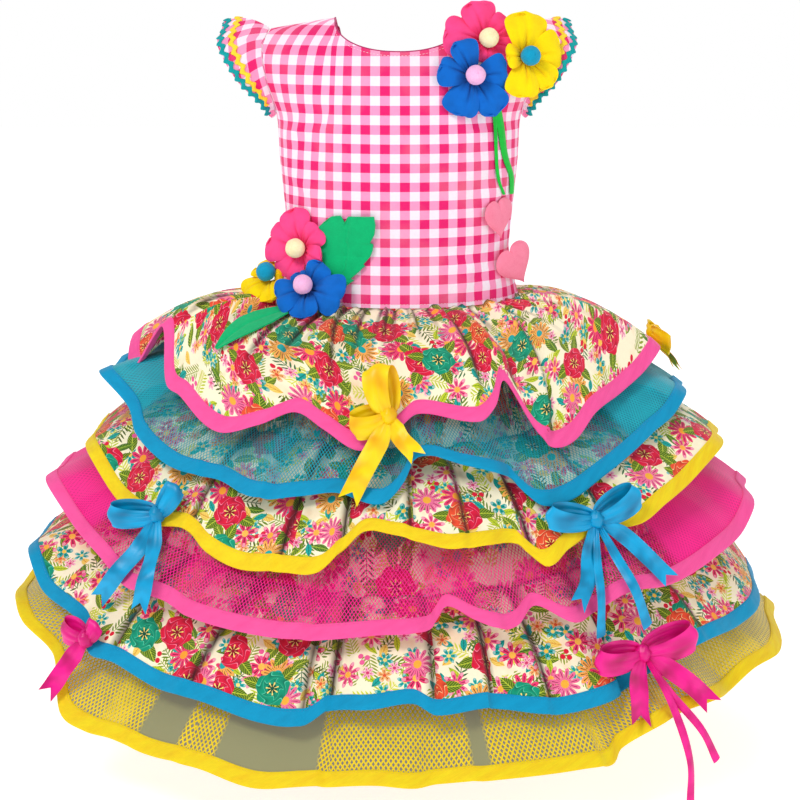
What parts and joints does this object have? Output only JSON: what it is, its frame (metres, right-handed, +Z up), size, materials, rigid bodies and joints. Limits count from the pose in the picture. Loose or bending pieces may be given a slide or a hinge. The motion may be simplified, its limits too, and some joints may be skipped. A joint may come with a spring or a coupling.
{
  "type": "festa junina dress",
  "caption": "Child's party dress with a gingham bodice, cap sleeves, felt flowers and a wide skirt of floral and net ruffles with ribbon bows.",
  "frame": {"origin": "on the body's centre line, midway between the two shoulder seams and level with their inner ends", "axes": "+Z up the dress from hem to neck, +X towards the wearer's left sleeve, the front faces -Y"},
  "size_m": [0.6507, 0.5578, 0.6118],
  "materials": {
    "gingham": "printed cotton check of hot pink and near white, checks of 8 mm",
    "floral": "printed cotton with a dense flower pattern on a cream ground",
    "net_turquoise": "fine open net, turquoise",
    "net_pink": "fine open net, hot pink",
    "net_yellow": "fine open net, yellow",
    "binding_pink": "folded cotton bias binding",
    "binding_blue": "folded cotton bias binding",
    "binding_yellow": "folded cotton bias binding",
    "braid_teal": "woven zigzag braid",
    "braid_yellow": "woven zigzag braid",
    "petal_pink": "plain cotton, folded and drawn into petals",
    "petal_blue": "plain cotton, folded and drawn into petals",
    "petal_yellow": "plain cotton, folded and drawn into petals",
    "ball_cream": "small felted ball",
    "ball_pink": "small felted ball",
    "ball_teal": "small felted ball",
    "leaf_felt": "thin green felt",
    "stem_ribbon": "narrow woven ribbon",
    "heart_felt": "padded felt",
    "satin_yellow": "satin ribbon",
    "satin_blue": "satin ribbon",
    "satin_pink": "satin ribbon"
  },
  "bodies": {
    "root": {"bodice_front": "gingham", "bodice_back_left": "gingham", "bodice_back_right": "gingham", "sleeve_left": "gingham", "sleeve_left_braid_edge": "braid_teal", "sleeve_left_braid_inner": "braid_yellow", "sleeve_right": "gingham", "sleeve_right_braid_edge": "braid_teal", "sleeve_right_braid_inner": "braid_yellow", "underskirt": "floral", "ruffle_1_floral": "floral", "ruffle_1_floral_binding": "binding_pink", "ruffle_2_net": "net_turquoise", "ruffle_2_net_binding": "binding_blue", "ruffle_3_floral": "floral", "ruffle_3_floral_binding": "binding_yellow", "ruffle_4_net": "net_pink", "ruffle_4_net_binding": "binding_pink", "ruffle_5_floral": "floral", "ruffle_5_floral_binding": "binding_blue", "ruffle_6_net": "net_yellow", "ruffle_6_net_binding": "binding_yellow", "shoulder_flower_pink": "petal_pink", "shoulder_flower_pink_ball": "ball_cream", "shoulder_flower_blue": "petal_blue", "shoulder_flower_blue_ball": "ball_pink", "shoulder_flower_yellow": "petal_yellow", "shoulder_flower_yellow_ball": "ball_teal", "waist_flower_pink": "petal_pink", "waist_flower_pink_ball": "ball_cream", "waist_flower_blue": "petal_blue", "waist_flower_blue_ball": "ball_pink", "waist_flower_yellow": "petal_yellow", "waist_flower_yellow_ball": "ball_teal", "leaf_large": "leaf_felt", "leaf_low": "leaf_felt", "stem_inner": "stem_ribbon", "stem_outer": "stem_ribbon", "heart_upper": "heart_felt", "heart_lower": "heart_felt", "bow_yellow_front": "satin_yellow", "bow_blue_right": "satin_blue", "bow_blue_left": "satin_blue", "bow_pink_left": "satin_pink", "bow_pink_right": "satin_pink", "bow_yellow_side": "satin_yellow"}
  },
  "joints": []
}
